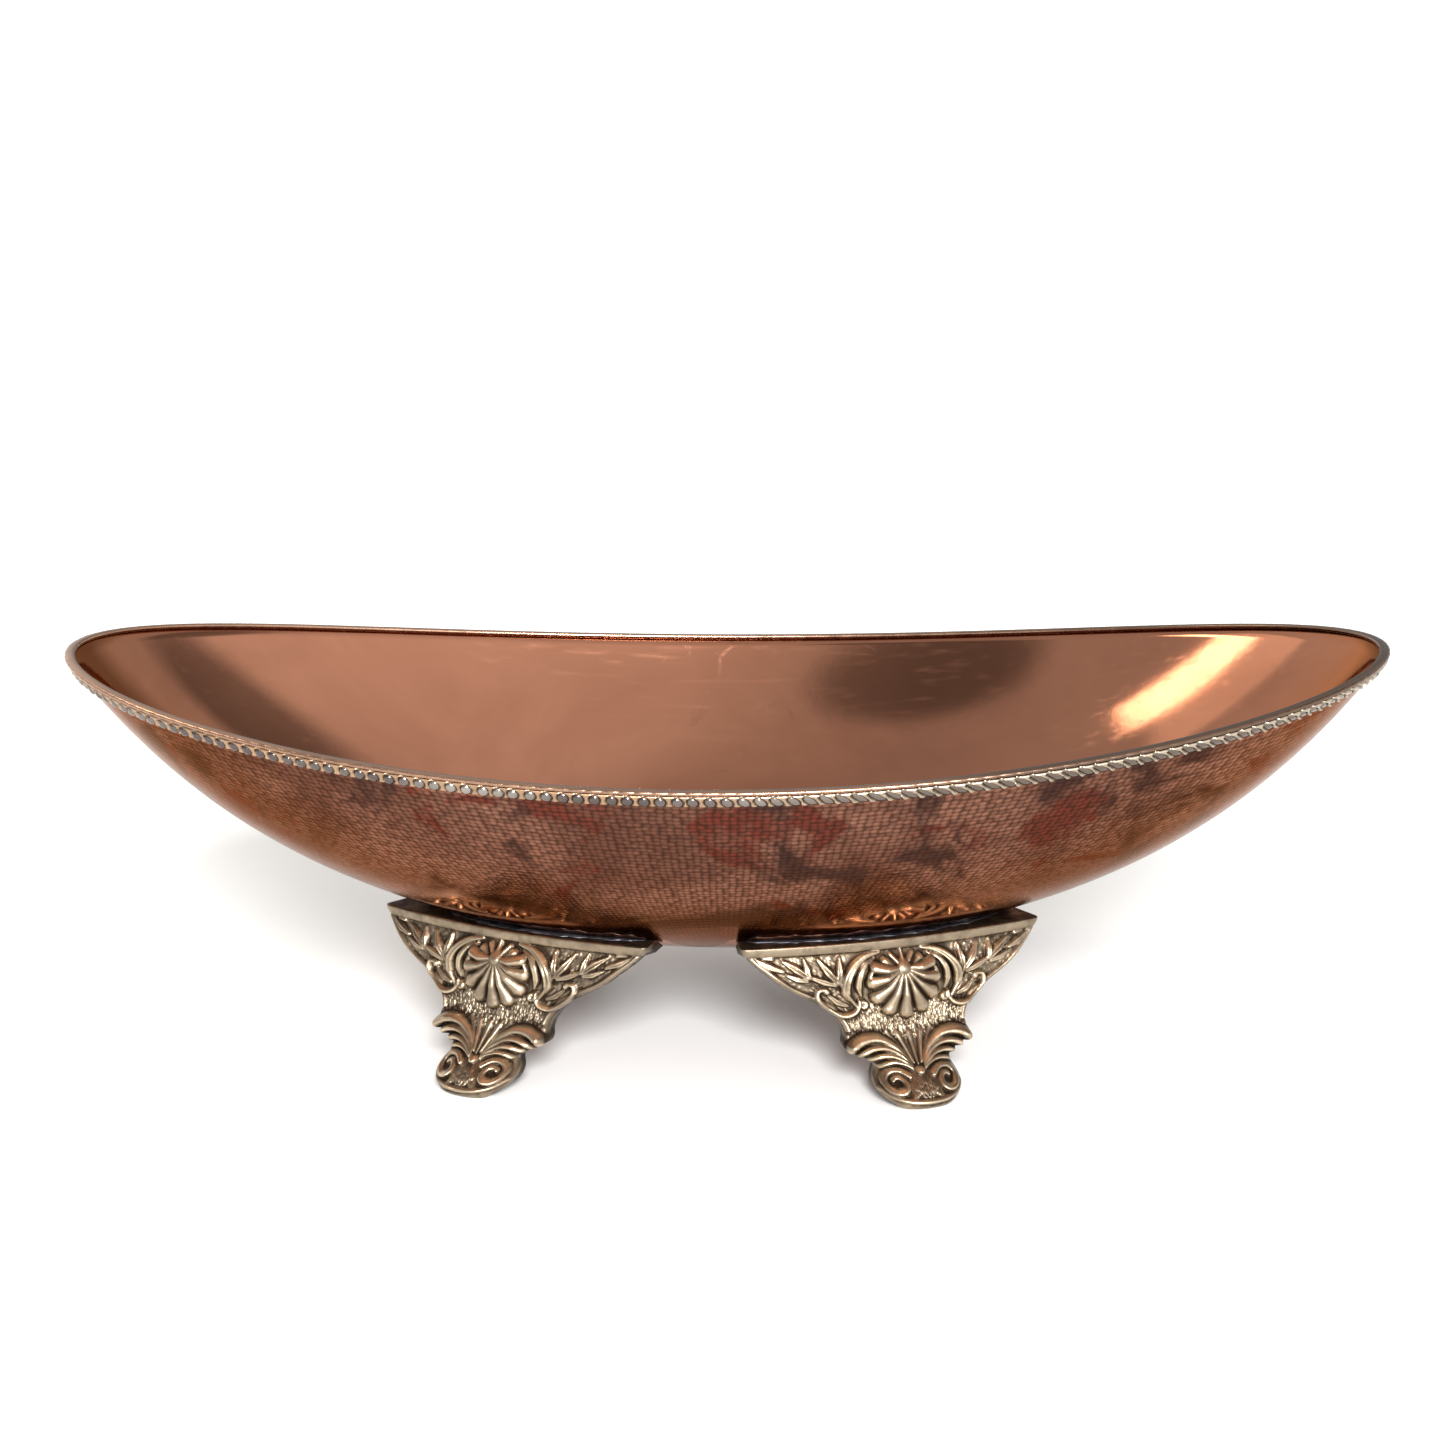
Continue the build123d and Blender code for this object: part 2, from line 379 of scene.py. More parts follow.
def make_lip(material):
    """The flat strip over the sheet's edge, its outer side nicked between the beads."""
    count = round(Edge(400).length / BEAD_PITCH)
    edge = Edge(count * 8)
    phase, number = bead_phase(edge, count)
    rng = np.random.default_rng(11)
    size = rng.normal(1.0, 0.15, count)[number % count]
    nick = (np.abs(phase) * 2) ** 2.2 * 0.12 * MM * size * (0.2 + 0.8 * joint_fade(edge))
    thick = LIP_THICKNESS
    section = [                   # level distance out, height, and how much of the nick it takes
        (-LIP_INWARD, 0.10 * MM, 0), (-LIP_INWARD, 0.55 * thick, 0),
        (-LIP_INWARD + 0.12 * MM, 0.84 * thick, 0), (-LIP_INWARD + 0.40 * MM, 0.97 * thick, 0),
        (-0.45 * MM, thick, 0), (0.30 * MM, 0.98 * thick, 0.15), (0.80 * MM, 0.90 * thick, 0.6),
        (LIP_OUTWARD - 0.12 * MM, 0.70 * thick, 1.0), (LIP_OUTWARD, 0.40 * thick, 1.0),
        (LIP_OUTWARD - 0.10 * MM, 0.12 * thick, 1.0), (0.85 * MM, 0.0, 0.8), (-0.2 * MM, -0.05 * MM, 0),
        (-SHEET, -0.05 * MM, 0),
    ]
    rings = []
    lip_lightness = []
    for out, height, share in section:
        reach = out - nick * share
        rings.append(edge.points + edge.level_out * reach[:, None] + edge.up * height)
        # 1 on the top and less on the sides, underside and nicks, which the colour makes darker
        lip_lightness.append(np.full(len(edge.s), 1.0 if height > 0.8 * thick else 0.4) - share * nick / MM)
    rings = np.array(rings)
    faces = grid_faces(len(rings), len(edge.s), wrap_rows=True, wrap_columns=True)
    lip = make_piece("edge_lip", rings.reshape(-1, 3), faces, material)
    add_attribute(lip, "relief", np.array(lip_lightness).reshape(-1))
    return lip


def make_joint(material):
    """A low lump of solder where the border's two ends meet."""
    half_length, half_height, thickness = 2.6, 1.35, 1.0
    edge = Edge(2400)
    k = int(np.argmin(np.abs(edge.angle - JOINT_BEARING % (2 * math.pi))))
    rng = np.random.default_rng(5)
    rows, columns = 24, 36
    lat = np.linspace(0.02, math.pi - 0.02, rows)
    lon = np.linspace(0, 2 * math.pi, columns, endpoint=False)
    lat, lon = np.meshgrid(lat, lon, indexing="ij")
    lumps = sum(
        0.10 * np.sin(n * lon + rng.uniform(0, 6)) * np.sin(n * lat + rng.uniform(0, 6))
        for n in (2, 3, 4, 5)
    )
    radius = 1 + lumps
    along = np.sin(lat) * np.cos(lon) * radius * half_length * MM
    down = np.cos(lat) * radius * half_height * MM + 1.8 * MM
    out = np.sin(lat) * np.sin(lon) * radius * thickness * MM + 0.25 * MM
    points = edge.points[k] + along[..., None] * edge.along[k] + down[..., None] * edge.down[k]
    points = points + out[..., None] * edge.out[k]
    points = points.reshape(-1, 3)
    faces = grid_faces(rows, columns, wrap_columns=True)
    top = len(points)
    points = np.vstack([points, points[:columns].mean(0), points[-columns:].mean(0)])
    for i in range(columns):
        j = (i + 1) % columns
        faces.append((top, j, i))
        faces.append((top + 1, (rows - 1) * columns + i, (rows - 1) * columns + j))
    return make_piece("border_joint", points, faces, material)


# ------------------------------------------------------------------ the feet

OUTLINE = [                   # height and half width of a foot (mm), from the corners to the sole
    (41.0, 41.0), (39.6, 40.4), (37.2, 38.5), (34.0, 34.6), (30.5, 30.2), (27.6, 25.2),
    (25.0, 20.6), (22.6, 18.0), (19.8, 16.3), (17.6, 16.0), (15.7, 16.5), (14.2, 16.0),
    (12.8, 14.0), (11.5, 11.2), (10.2, 9.7), (9.0, 9.9), (7.4, 10.5), (5.6, 10.6),
    (3.8, 9.9), (2.2, 8.3), (1.0, 6.8), (0.0, 5.9),
]
FRONT_PROFILE = [             # height and how far the front stands out from the upper edge (mm)
    (38.2, 0.0), (35.2, 0.1), (31.0, 1.8), (26.5, 2.2), (22.0, 3.2), (17.5, 5.0), (13.5, 7.8),
    (10.2, 11.3), (7.4, 15.0), (4.8, 18.9), (2.8, 21.1), (1.1, 21.8), (0.0, 20.8),
]
BACK_PROFILE = [
    (35.2, -3.0), (28.0, -3.0), (20.5, -0.8), (14.5, 2.5), (9.0, 7.0), (4.0, 11.3), (0.0, 12.8),
]


def along_height(table, v):
    """A smooth value between given (height, value) pairs."""
    points = curve_through(table, 400)[::-1]
    return np.interp(v, points[:, 0], points[:, 1])


def drawn_height(v):
    """The height in the drawn ornament that lies at a height on the foot."""
    below = FOOT_HEIGHT - v
    return DRAWN_HEIGHT - below - (DRAWN_HEIGHT - FOOT_HEIGHT) * (below / FOOT_HEIGHT) ** 2.5


class Relief:
    """Cast ornament as a height over (across, up) millimetres, alike on both sides."""

    def __init__(self, u, v):
        self.u = np.abs(u)
        self.v = v
        self.h = np.zeros_like(u)

    def raise_to(self, z, where=slice(None)):
        """Keep the higher of the relief so far and a new shape, with a narrow blend."""
        old = self.h[where]
        gap = 0.12
        mix = np.clip(0.5 + (z - old) / (2 * gap), 0, 1)
        self.h[where] = old + (z - old) * mix + gap * mix * (1 - mix) * (z > 0)

    def stroke(self, points, widths, heights, vein=0.0, crown=2.0):
        """A rounded ridge or leaf along a curve, with a vein cut down its middle if asked."""
        spine = curve_through(points, 48)
        t = np.linspace(0, 1, 48)
        width = np.interp(t, np.linspace(0, 1, len(widths)), widths)
        height = np.interp(t, np.linspace(0, 1, len(heights)), heights)
        reach = max(widths) + 0.2
        low = spine.min(0) - reach
        high = spine.max(0) + reach
        near = (self.u > low[0]) & (self.u < high[0]) & (self.v > low[1]) & (self.v < high[1])
        if not near.any():
            return
        du = self.u[near][:, None] - spine[None, :, 0]
        dv = self.v[near][:, None] - spine[None, :, 1]
        distance = np.sqrt(du**2 + dv**2)
        q = distance / width[None, :]
        k = q.argmin(1)
        rows = np.arange(len(k))
        q = q[rows, k]
        dome = np.clip(1 - q**crown, 0, None) ** (1 / crown)
        z = height[k] * dome
        if vein:
            z = z * (1 - vein * np.exp(-(q / 0.28) ** 2))
        self.raise_to(np.where(q < 1, z, -1.0), near)

    def dome(self, u, v, radius, height, stretch=1.0):
        """A round or oval boss."""
        q = np.sqrt(((self.u - u) / radius) ** 2 + ((self.v - v) / (radius * stretch)) ** 2)
        self.raise_to(np.where(q < 1, height * np.sqrt(np.clip(1 - q**2, 0, None)), -1.0))

    def hollow(self, u, v, radius, depth):
        """A soft dent."""
        q2 = ((self.u - u) ** 2 + (self.v - v) ** 2) / radius**2
        self.h = self.h - depth * np.exp(-q2 * 1.6)


def fan(relief):
    """The scallop shell at the knee: lobes that spread down and sideways from a hub."""
    hub = (0.0, 34.4)
    relief.dome(0.0, 29.6, 7.4, 1.1)
    lobes = [(0, 11.4, 2.05), (21, 11.1, 2.1), (42, 10.1, 2.05), (64, 8.9, 1.85), (88, 7.4, 1.55)]
    for degrees, reach, width in lobes:
        turn = math.radians(degrees)
        bend = math.radians(degrees * 1.06)
        start = (hub[0] + 1.6 * math.sin(turn), hub[1] - 1.6 * math.cos(turn))
        middle = (hub[0] + 0.6 * reach * math.sin(turn), hub[1] - 0.6 * reach * math.cos(turn))
        tip = (hub[0] + reach * math.sin(bend), hub[1] - reach * math.cos(bend))
        relief.stroke([start, middle, tip], [0.6, 1.4, width], [1.9, 2.8, 2.3])
    relief.dome(*hub, 2.3, 2.2)
    relief.stroke([(0.0, 36.2), (0.0, 38.2)], [0.7, 0.5], [1.6, 0.9])
    relief.stroke([(1.6, 35.9), (2.9, 37.4)], [0.75, 0.7], [1.5, 1.0])
    relief.stroke([(2.8, 35.0), (4.6, 36.2), (5.6, 35.6)], [0.7, 1.0, 0.7], [1.4, 1.6, 1.0])


def knee_scrolls(relief):
    """Nested crescents that curl round the shell, and the leaf at their foot."""
    relief.stroke(
        [(5.6, 38.2), (9.6, 37.4), (12.8, 35.2), (14.6, 32.2), (14.9, 29.0), (13.9, 26.6)],
        [0.45, 0.85, 1.15, 1.45, 1.35, 0.4], [0.9, 1.6, 2.1, 2.3, 1.8, 0.8], vein=0.30)
    relief.stroke(
        [(7.0, 36.9), (9.6, 35.7), (11.3, 33.2), (11.8, 30.2), (11.1, 27.6)],
        [0.4, 0.75, 1.0, 1.0, 0.35], [0.8, 1.6, 2.0, 1.8, 0.7], vein=0.22)
    relief.stroke(
        [(6.9, 35.0), (8.3, 33.6), (9.1, 31.4), (8.9, 29.2)],
        [0.4, 0.7, 0.8, 0.35], [0.9, 1.5, 1.5, 0.7])
    relief.dome(10.6, 25.4, 1.35, 1.7)
    relief.hollow(10.8, 25.6, 0.7, 0.7)


def arm_leaves(relief):
    """Sprigs of narrow leaves on each arm, over a C-shaped scroll along its lower edge."""
    relief.stroke([(12.6, 25.4), (14.6, 28.2), (16.6, 31.8)], [0.65, 0.75, 0.6], [1.3, 1.5, 1.3])
    relief.stroke([(16.6, 31.6), (16.3, 34.6), (16.0, 37.6)], [0.7, 1.05, 0.4], [1.5, 1.6, 0.8], vein=0.4)
    relief.stroke([(16.8, 31.6), (19.2, 34.4), (21.6, 37.5)], [0.7, 1.15, 0.4], [1.5, 1.7, 0.8], vein=0.4)
    relief.stroke([(17.4, 31.0), (20.2, 31.9), (23.4, 33.3)], [0.6, 0.95, 0.6], [1.3, 1.4, 1.2], vein=0.3)
    relief.stroke([(24.0, 33.4), (24.6, 35.6), (25.2, 37.8)], [0.65, 0.9, 0.35], [1.4, 1.5, 0.8], vein=0.4)
    relief.stroke([(24.3, 33.5), (27.2, 35.6), (30.6, 37.6)], [0.65, 1.1, 0.35], [1.4, 1.6, 0.8], vein=0.4)
    relief.stroke([(24.6, 32.6), (27.0, 33.2), (29.6, 34.2)], [0.6, 0.9, 0.4], [1.2, 1.4, 0.8], vein=0.3)
    relief.stroke([(30.4, 35.2), (33.6, 36.4), (37.6, 38.4)], [0.5, 0.9, 0.35], [1.0, 1.3, 0.7], vein=0.3)
    relief.stroke([(33.0, 38.2), (35.4, 38.3)], [0.5, 0.35], [0.9, 0.6])
    relief.stroke(
        [(11.8, 26.6), (11.9, 25.0), (13.6, 23.4), (16.4, 23.2),
         (19.6, 25.0), (22.0, 27.6), (21.9, 29.6), (20.2, 30.0)],
        [0.5, 0.65, 0.8, 0.85, 0.85, 0.8, 0.7, 0.6], [1.3, 1.6, 1.8, 1.8, 1.7, 1.6, 1.5, 1.2])
    relief.stroke([(14.6, 25.4), (17.0, 26.4), (19.4, 28.4)], [0.5, 0.95, 0.5], [0.7, 1.1, 0.7], vein=0.3)
    relief.dome(19.8, 29.4, 1.0, 1.4)


def ankle_leaves(relief):
    """Two ribbed leaves that curl outward over the ankle, with flutes between them."""
    relief.stroke(
        [(1.9, 11.4), (4.2, 14.6), (8.0, 17.0), (11.8, 17.2), (14.4, 15.9), (15.1, 14.4)],
        [0.5, 0.9, 1.25, 1.5, 1.5, 1.1], [1.0, 2.0, 2.6, 3.0, 3.0, 2.4])
    relief.stroke(
        [(1.7, 10.8), (3.8, 13.2), (6.9, 14.9), (10.0, 15.0), (12.2, 13.9), (12.9, 12.9)],
        [0.45, 0.75, 1.0, 1.1, 1.05, 0.7], [1.0, 1.9, 2.5, 2.7, 2.5, 1.9])
    relief.stroke(
        [(1.6, 10.2), (3.5, 11.9), (6.0, 13.0), (8.6, 12.9), (10.6, 11.8)],
        [0.4, 0.65, 0.85, 0.9, 0.7], [0.9, 1.7, 2.2, 2.3, 1.7])
    relief.stroke(
        [(1.6, 9.7), (3.2, 10.8), (5.4, 11.4), (7.4, 11.0), (8.8, 10.2)],
        [0.35, 0.5, 0.65, 0.65, 0.5], [0.8, 1.4, 1.7, 1.7, 1.2])
    relief.stroke([(0.0, 10.6), (0.0, 14.0), (0.0, 17.6)], [0.30, 0.55, 0.80], [0.9, 1.2, 0.8])
    relief.stroke([(0.9, 10.9), (1.9, 14.2), (3.0, 17.6)], [0.30, 0.60, 0.90], [0.9, 1.3, 0.9])
    relief.stroke([(1.5, 11.2), (3.4, 14.8), (5.6, 18.0)], [0.30, 0.55, 0.70], [0.8, 1.1, 0.6])
    relief.dome(0.0, 9.4, 1.25, 1.7, 0.8)


def toe_volutes(relief):
    """A spiral on each side of the toe, a stippled field between them and a plain rim below."""
    turns = np.linspace(0, 1, 12)
    start = math.radians(150)
    spiral = [
        (6.1 + (3.5 - 2.5 * t) * math.cos(start - t * math.radians(470)),
         6.8 + (3.1 - 2.2 * t) * math.sin(start - t * math.radians(470)))
        for t in turns
    ]
    relief.stroke(spiral, [0.75, 0.9, 0.8, 0.6], [1.2, 1.7, 1.6, 1.2])
    relief.stroke(
        [(0.0, 2.5), (4.0, 2.7), (7.4, 3.6), (9.8, 5.2)],
        [0.75, 0.75, 0.7, 0.6], [1.0, 1.0, 0.9, 0.7])


def stipple(relief, rng):
    """Punched texture on the plain ground under the shell, at the ankle and on the toe."""
    dots = []
    for _ in range(620):
        u = rng.uniform(0, 15.5)
        v = rng.uniform(16.5, 24.5)
        radius = rng.uniform(0.24, 0.42)
        stretch = rng.uniform(0.9, 2.6) if u > 5 else 1.0
        dots.append((u, v, radius, stretch, rng.uniform(0.35, 0.7)))
    for _ in range(120):
        v = rng.uniform(3.6, 8.6)
        u = rng.uniform(0, 0.6 + (8.6 - v) * 0.65)
        dots.append((u, v, rng.uniform(0.22, 0.34), 1.0, rng.uniform(0.3, 0.55)))
    for _ in range(420):
        u = rng.uniform(14, 39)
        dots.append((u, rng.uniform(26, 38.4), rng.uniform(0.22, 0.38), 1.0, rng.uniform(0.15, 0.4)))
    texture = np.zeros_like(relief.h)
    for u, v, radius, stretch, height in dots:
        near = (np.abs(relief.u - u) < 3 * radius) & (np.abs(relief.v - v) < 3 * radius * stretch)
        q2 = ((relief.u[near] - u) / radius) ** 2 + ((relief.v[near] - v) / (radius * stretch)) ** 2
        texture[near] = np.maximum(texture[near], height * np.exp(-q2))
    ground = 1 - smoothstep(0.15, 0.6, relief.h)
    relief.h = relief.h + texture * (0.12 + 0.88 * ground)


def foot_relief(u, v, to_edge):
    """All the ornament of one foot, and how far its rounded rim falls back."""
    relief = Relief(u, v)
    band = smoothstep(38.35, 38.75, v) * 0.75 * np.sqrt(np.clip(1 - ((v - 40.0) / 1.75) ** 2, 0, 1))
    relief.raise_to(band)
    arm = (v > 19) & (v < 38.6)
    q = np.abs(to_edge - 1.1) / 0.75
    relief.raise_to(np.where(arm & (q < 1), 0.95 * np.sqrt(np.clip(1 - q**2, 0, 1)), -1.0))
    fan(relief)
    knee_scrolls(relief)
    arm_leaves(relief)
    ankle_leaves(relief)
    toe_volutes(relief)
    stipple(relief, np.random.default_rng(21))
    relief.hollow(6.0, 6.8, 1.0, 0.7)
    rounding = 1 - np.clip(to_edge / 1.5, 0, 1)
    fall = 1.5 * (1 - np.sqrt(np.clip(1 - rounding**2, 0, 1)))
    return relief.h, fall


def blur(field, passes):
    """The field smoothed over its neighbours."""
    f = field.copy()
    for _ in range(passes):
        p = np.pad(f, 1, mode="edge")
        f = (p[:-2, 1:-1] + p[2:, 1:-1] + p[1:-1, :-2] + p[1:-1, 2:] + 2 * f) / 6
    return f


def foot_points(place, u, v, out):
    """Positions in the part's frame (metres) of points across, up and out from a foot's upper edge."""
    x, y, bearing = place
    turn = math.radians(bearing)
    outward = np.array([math.cos(turn), math.sin(turn)])
    right = np.array([-math.sin(turn), math.cos(turn)])
    radius = (FOOT_HALF_WIDTH**2 + FOOT_BOW**2) / (2 * FOOT_BOW)
    bow = u / radius
    across = (radius + out) * np.sin(bow)
    forward = (radius + out) * np.cos(bow) - radius
    ground = np.array([x, y]) + across[..., None] * right + forward[..., None] * outward
    return np.concatenate([ground, v[..., None]], -1) * MM


def meet_bowl(place, u, height):
    """How far in (negative, mm) from the upper edge's line the bowl's outer face is at a height."""
    near = np.full_like(u, 1.0)
    far = np.full_like(u, -FLANGE_DEPTH)
    for _ in range(30):
        middle = (near + far) / 2
        p = foot_points(place, u, np.full_like(u, height), middle)
        above = outer_height(p[..., 0], p[..., 1]) > height * MM
        near = np.where(above, middle, near)
        far = np.where(above, far, middle)
    return (near + far) / 2


def make_foot(name, place, material):
    """One cast foot: sculpted face, toe, hollow back and a flange that meets the bowl."""
    columns = np.linspace(-1, 1, FOOT_COLUMNS)
    v_rows = np.linspace(FOOT_HEIGHT, 0, FOOT_ROWS)
    half = along_height(OUTLINE, drawn_height(v_rows))
    slope = np.gradient(half, v_rows)
    v, s = np.meshgrid(v_rows, columns, indexing="ij")
    u = s * half[:, None]
    to_edge = (half[:, None] - np.abs(u)) / np.sqrt(1 + slope[:, None] ** 2)
    relief, fall = foot_relief(u, drawn_height(v), to_edge)
    front = along_height(FRONT_PROFILE, v_rows)[:, None]
    toe = 1 - smoothstep(6.0, 14.0, v)
    swell = KNEE_SWELL * np.exp(-(u / 11) ** 2 - ((v - 27) / 7) ** 2)
    front = front - toe * TOE_ROUNDING * u**2 + swell
    front = front + relief - fall
    back = along_height(BACK_PROFILE, v_rows)[:, None] - toe * BACK_ROUNDING * u**2
    back = np.minimum(back, front - 1.0)    # the casting is nowhere thinner than this
    # how far the relief stands above or sinks below its surroundings; the material darkens the low places
    # as patina with painted shade and brightens the high ones as a painted highlight with wear
    recess = relief - blur(relief, 26)

    rows = []
    shade = []
    rows.append(foot_points(place, u, v, front))
    shade.append(recess)
    lower = v_rows <= FOOT_HEIGHT - FLANGE
    rows.append(foot_points(place, u[lower][::-1], v[lower][::-1], back[lower][::-1]))
    # the hollow back gets the darkest value: painted shade
    shade.append(np.full(u[lower].shape, -0.9))

    top_u = u[0]
    under = meet_bowl(place, top_u, FOOT_HEIGHT - FLANGE)
    upper = meet_bowl(place, top_u, FOOT_HEIGHT)
    flange = []
    for share in (0.35, 0.7, 1.0):
        flange.append((FOOT_HEIGHT - FLANGE, -3.0 + (under + 3.0) * share))
    flange.append((FOOT_HEIGHT, upper))
    for share in (0.75, 0.5, 0.25, 0.08):
        flange.append((FOOT_HEIGHT, upper * share))
    for height, out in flange:
        rows.append(foot_points(place, top_u, np.full_like(top_u, height), out)[None])
        # the flange's underside and top get dark values: painted shade of the groove under the bowl
        shade.append(np.full((1, FOOT_COLUMNS), -0.7 if height < FOOT_HEIGHT else -0.25))
    loop = np.concatenate(rows, 0)
    faces = grid_faces(len(loop), FOOT_COLUMNS, wrap_rows=True)

    back_count = int(lower.sum())
    first_level = FOOT_ROWS - back_count
    total = len(loop)
    for column, order in ((0, 1), (FOOT_COLUMNS - 1, -1)):
        end = (np.arange(total) * FOOT_COLUMNS + column).tolist()
        for i in range(first_level, FOOT_ROWS - 1):
            mate = FOOT_ROWS + (FOOT_ROWS - 1 - i)
            quad = (end[i], end[i + 1], end[mate - 1], end[mate])
            faces.append(quad[::order])
        rim = end[:first_level + 1] + end[FOOT_ROWS + back_count - 1:]
        faces.append(rim[::order])
    foot = make_piece(name, loop.reshape(-1, 3), faces, material)
    add_attribute(foot, "recess", np.concatenate(shade, 0).reshape(-1))
    return foot


def make_seam(name, place, material, seed):
    """Solder drawn into the wedge between a foot's ledge and the bowl, a little uneven."""
    end = FOOT_HALF_WIDTH - SEAM_STOP
    u = np.linspace(-end, end, SEAM_COLUMNS)
    rng = np.random.default_rng(seed)
    wander = sum(rng.normal(0, 0.16) * np.sin(u * k * 0.13 + rng.uniform(0, 6)) for k in range(1, 14))
    reach = np.clip(2.3 + wander, 1.2, 3.6)
    contact = meet_bowl(place, u, FOOT_HEIGHT)
    ends = np.sqrt(np.clip(1 - (np.abs(u) / u.max()) ** 8, 0.02, 1))
    front = np.minimum(contact + reach * ends, -0.6)
    front = np.maximum(front, contact + 0.05)
    rows = []
    steps = np.linspace(0, 1, 9)
    for t in steps:
        out = contact + (front - contact) * t
        p = foot_points(place, u, np.full_like(u, FOOT_HEIGHT), out)
        gap = outer_height(p[:, 0], p[:, 1]) / MM - FOOT_HEIGHT
        lift = np.clip(gap, 0, None) * (1 - t) ** 1.2 + 0.06
        rows.append(foot_points(place, u, FOOT_HEIGHT + np.minimum(lift, gap), out))
    for t in steps[::-1]:
        out = contact + (front - contact) * t
        rows.append(foot_points(place, u, np.full_like(u, FOOT_HEIGHT - 0.15), out))
    loop = np.array(rows)
    faces = grid_faces(len(loop), SEAM_COLUMNS, wrap_rows=True)
    faces = [f[::-1] for f in faces]
    first = [row * SEAM_COLUMNS for row in range(len(loop))]
    faces.append(first)
    faces.append([corner + SEAM_COLUMNS - 1 for corner in first[::-1]])
    return make_piece(name, loop.reshape(-1, 3), faces, material)


# ------------------------------------------------------------------ materials

class Shader:
    """A small helper that adds nodes to one material."""

    def __init__(self, name, metallic=1.0):
        self.material = bpy.data.materials.new(name)
        self.material.use_nodes = True
        self.nodes = self.material.node_tree.nodes
        self.links = self.material.node_tree.links
        self.bsdf = self.nodes["Principled BSDF"]
        self.bsdf.inputs["Metallic"].default_value = metallic
        self.place = self.nodes.new("ShaderNodeTexCoord").outputs["Object"]

    def link(self, source, node, socket):
        self.links.new(source, node.inputs[socket])

    def along_bowl(self):
        """The place along the bowl's length, in metres."""
        split = self.nodes.new("ShaderNodeSeparateXYZ")
        self.link(self.place, split, "Vector")
        return split.outputs["X"]

    def noise(self, scale, detail=4.0, rough=0.55, stretch=(1, 1, 1), warp=0.0):
        """Noise over the object's own coordinates, in features per metre."""
        mapping = self.nodes.new("ShaderNodeMapping")
        mapping.inputs["Scale"].default_value = stretch
        self.link(self.place, mapping, "Vector")
        node = self.nodes.new("ShaderNodeTexNoise")
        node.inputs["Scale"].default_value = scale
        node.inputs["Detail"].default_value = detail
        node.inputs["Roughness"].default_value = rough
        node.inputs["Distortion"].default_value = warp
        self.link(mapping.outputs[0], node, "Vector")
        return node.outputs["Fac"]

    def spread(self, value, low, high, to_low=0.0, to_high=1.0):
        """A value moved from one range to another, held at its ends."""
        node = self.nodes.new("ShaderNodeMapRange")
        node.inputs["From Min"].default_value = low
        node.inputs["From Max"].default_value = high
        node.inputs["To Min"].default_value = to_low
        node.inputs["To Max"].default_value = to_high
        self.link(value, node, "Value")
        return node.outputs[0]

    def math(self, operation, a, b):
        node = self.nodes.new("ShaderNodeMath")
        node.operation = operation
        for socket, value in ((0, a), (1, b)):
            if isinstance(value, (int, float)):
                node.inputs[socket].default_value = value
            else:
                self.link(value, node, socket)
        return node.outputs[0]

    def mix(self, share, first, second):
        """Two colours mixed by a value."""
        node = self.nodes.new("ShaderNodeMix")
        node.data_type = "RGBA"
        self.link(share, node, 0)
        for socket, value in ((6, first), (7, second)):
            if isinstance(value, tuple):
                node.inputs[socket].default_value = (*value, 1.0)
            else:
                self.link(value, node, socket)
        return node.outputs[2]

    def cells(self, scale, unevenness):
        """Rows of small cells over the wall: distance from each one's middle, and a number for each."""
        wall = self.nodes.new("ShaderNodeUVMap")
        wall.uv_map = "wall"
        mapping = self.nodes.new("ShaderNodeMapping")
        mapping.inputs["Scale"].default_value = scale
        self.link(wall.outputs[0], mapping, "Vector")
        node = self.nodes.new("ShaderNodeTexVoronoi")
        node.voronoi_dimensions = "2D"
        node.inputs["Scale"].default_value = 1.0
        node.inputs["Randomness"].default_value = unevenness
        self.link(mapping.outputs[0], node, "Vector")
        split = self.nodes.new("ShaderNodeSeparateColor")
        self.link(node.outputs["Color"], split, "Color")
        return node.outputs["Distance"], split.outputs[0]

    def edge_tint(self, tint):
        """Colour of the metal where it is seen at a glancing angle."""
        self.bsdf.inputs["Specular Tint"].default_value = (*tint, 1.0)

    def attribute(self, name):
        node = self.nodes.new("ShaderNodeAttribute")
        node.attribute_name = name
        return node.outputs["Fac"]

    def bump(self, height, distance, strength=1.0):
        """Fine unevenness, in metres."""
        node = self.nodes.new("ShaderNodeBump")
        node.inputs["Distance"].default_value = distance
        node.inputs["Strength"].default_value = strength
        self.link(height, node, "Height")
        self.links.new(node.outputs[0], self.bsdf.inputs["Normal"])

    def colour(self, value):
        self.links.new(value, self.bsdf.inputs["Base Color"])

    def roughness(self, value):
        self.links.new(value, self.bsdf.inputs["Roughness"])


def copper_inside():
    """Polished copper with a few dull smudges and hair-fine wiping scratches."""
    s = Shader("polished_copper")
    cloud = s.noise(14, 5, 0.6, warp=0.6)
    tone = s.mix(s.spread(cloud, 0.35, 0.7), (0.46, 0.205, 0.125), (0.345, 0.146, 0.087))
    stain = s.math("MULTIPLY", s.spread(s.noise(55, 6, 0.7, warp=1.2), 0.60, 0.72),
                   s.spread(s.noise(9, 2), 0.48, 0.62))
    tone = s.mix(s.math("MULTIPLY", stain, 0.6), tone, (0.16, 0.075, 0.05))
    s.colour(tone)
    s.edge_tint((0.75, 0.50, 0.38))
    scratch = s.spread(s.noise(420, 2, 0.5, stretch=(0.06, 1.0, 1.0)), 0.55, 0.75)
    dull = s.math("ADD", s.spread(cloud, 0.3, 0.75, 0.07, 0.15), s.math("MULTIPLY", scratch, 0.08))
    s.roughness(s.math("ADD", dull, s.math("MULTIPLY", stain, 0.18)))
    s.bump(s.noise(160, 3, 0.5), 0.00002)
    return s.material


